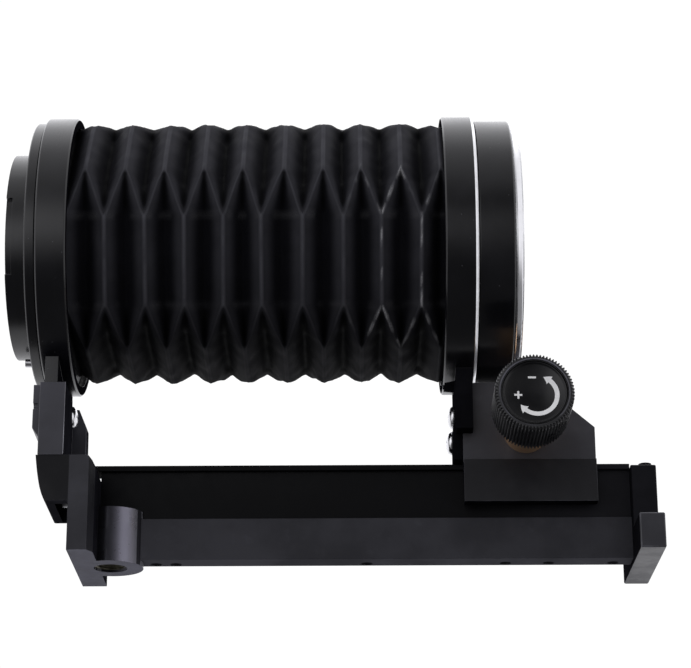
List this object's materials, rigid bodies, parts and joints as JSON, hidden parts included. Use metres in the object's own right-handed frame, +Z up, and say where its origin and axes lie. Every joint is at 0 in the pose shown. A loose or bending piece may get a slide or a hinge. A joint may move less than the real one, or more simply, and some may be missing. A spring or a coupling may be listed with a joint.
{
  "type": "macro bellows unit",
  "caption": "Macro bellows with a folded cloth tube between a camera-side ring fixed to a rail and a lens-side ring on a sliding carriage that a side knob clamps.",
  "frame": {"origin": "centre of the tripod socket's mouth, on the plane that the two feet stand on", "axes": "+X along the rail and the optical axis, from the camera side to the lens side; +Z up; the clamp knob is on the -Y side"},
  "size_m": [0.1447, 0.067, 0.1062],
  "materials": {
    "rail_black": "satin black with faint mould mottling",
    "moulded_black": "satin black moulded plastic",
    "anodised_black": "semi-gloss black anodised, bright bevelled edges",
    "chrome": "satin chrome",
    "chrome_screw": "bright chrome",
    "steel": "turned steel",
    "brass": "turned brass",
    "bellows_cloth": "matte rubberised black cloth with worn folds",
    "liner": "smooth low-friction plastic",
    "knob_black": "satin black, knurled",
    "knob_gloss": "glossy black with a white arrow"
  },
  "bodies": {
    "base": {"rail": "rail_black", "rear_end_bracket": "moulded_black", "front_end_bracket": "moulded_black", "tripod_bush": "brass", "rear_bracket_screws": "steel", "front_bracket_screws": "steel", "rear_standard": "moulded_black", "standard_dowels": "steel", "rear_ring": "anodised_black", "rear_tab_screw": "chrome_screw", "camera_bayonet": "anodised_black", "camera_bayonet_screws": "steel", "bayonet_stop_pin": "steel", "rear_bellows_frame": "moulded_black", "bellows": "bellows_cloth"},
    "front_unit": {"carriage": "moulded_black", "jaw_guide_pins": "steel", "carriage_liner": "liner", "brass_bush": "brass", "thrust_washer": "steel", "front_tab_screws": "chrome_screw", "front_ring": "anodised_black", "front_bellows_frame": "moulded_black", "front_mount_body": "anodised_black", "lens_bayonet": "chrome", "lens_bayonet_screws": "chrome_screw", "bayonet_springs": "steel", "release_spring": "steel"},
    "jaw": {"clamp_jaw": "moulded_black", "jaw_liner": "liner"},
    "knob_unit": {"knob": "knob_black", "knob_cap": "knob_gloss", "clamp_screw": "steel"},
    "release_unit": {"release_slider": "moulded_black", "lock_pin": "steel"}
  },
  "joints": [
    {"name": "focus_slide", "type": "slide", "parent": "base", "child": "front_unit", "axis": [1, 0, 0], "range_m": [-0.052, 0.0072], "deforming": ["bellows"]},
    {"name": "knob_turn", "type": "hinge", "parent": "front_unit", "child": "knob_unit", "pos_m": [0.0924, 0, 0.0293], "axis": [0, 1, 0], "range_deg": [-540, 0]},
    {"name": "jaw_travel", "type": "slide", "parent": "front_unit", "child": "jaw", "axis": [0, 1, 0], "range_m": [0, 0.0012]},
    {"name": "release_press", "type": "slide", "parent": "front_unit", "child": "release_unit", "axis": [1, 0, 0], "range_m": [-0.0018, 0], "stiffness_N_per_m": 100, "springref_m": 0.0004, "deforming": ["release_spring"]}
  ],
  "couplings": [
    {"joint": "jaw_travel", "follows": "knob_turn", "m_per_rad": -0.00012732}
  ]
}
